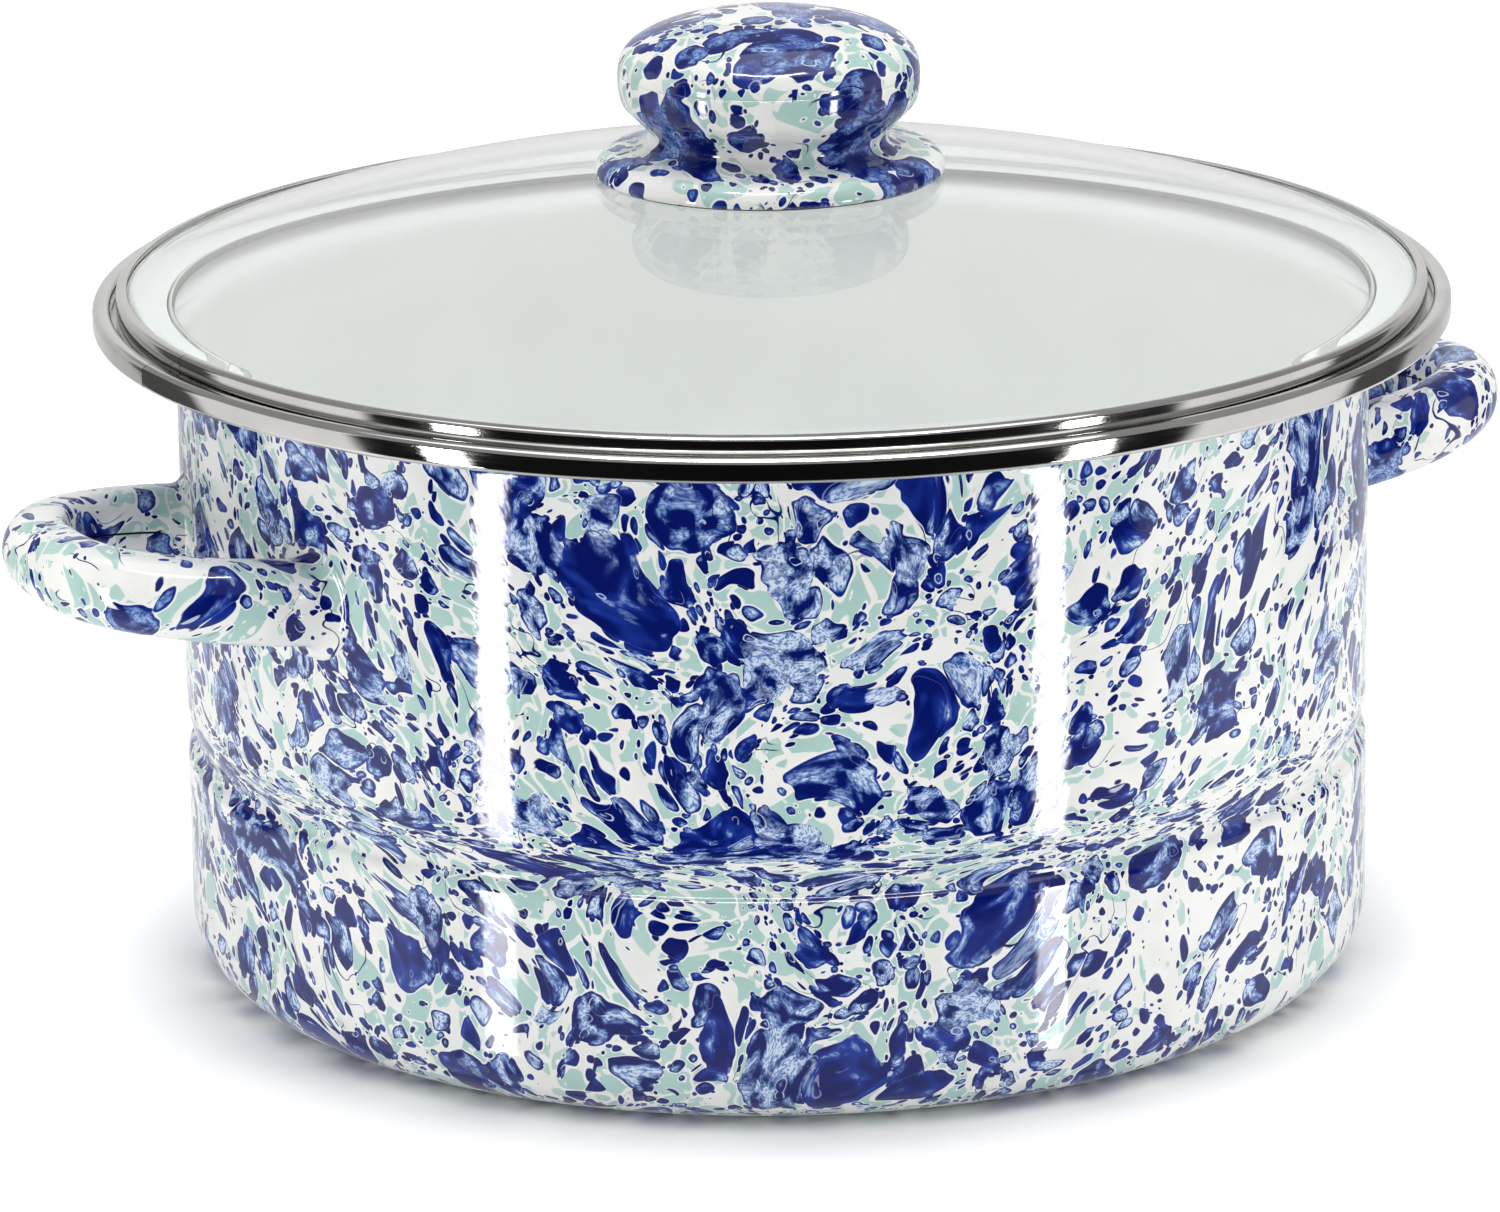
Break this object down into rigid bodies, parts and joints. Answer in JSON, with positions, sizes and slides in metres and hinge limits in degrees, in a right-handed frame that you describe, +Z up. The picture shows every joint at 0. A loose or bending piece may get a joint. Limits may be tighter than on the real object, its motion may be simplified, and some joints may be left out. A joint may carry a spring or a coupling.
{
  "type": "stockpot",
  "caption": "Round enamelled steel stockpot with a pressed groove, side loop handles, a stainless rim band and a domed glass lid with an enamelled knob.",
  "frame": {"origin": "middle of the flat base, on the surface the pot stands on", "axes": "+Z up through the knob, +X along the line through both handles"},
  "size_m": [0.2998, 0.2504, 0.1781],
  "materials": {
    "enamel": "glossy vitreous enamel, white with cobalt and mint splatter outside and plain white inside",
    "polished_steel": "polished stainless steel",
    "clear_glass": "clear tempered glass",
    "rubber": "matte black",
    "plain_steel": "plain stainless steel"
  },
  "bodies": {
    "pot": {"pot_body": "enamel", "pot_rim_band": "polished_steel", "right_handle": "enamel", "left_handle": "enamel"},
    "lid": {"lid_glass": "clear_glass", "lid_rim_seal": "rubber", "lid_rim_band": "polished_steel", "knob_gasket": "rubber", "knob_base": "enamel", "knob_cap": "enamel", "knob_insert": "plain_steel", "knob_pad": "rubber", "knob_washer": "plain_steel", "knob_screw": "plain_steel"}
  },
  "joints": [
    {"name": "lid_lift", "type": "slide", "parent": "pot", "child": "lid", "axis": [0, 0, 1], "range_m": [0, 0.12]}
  ]
}
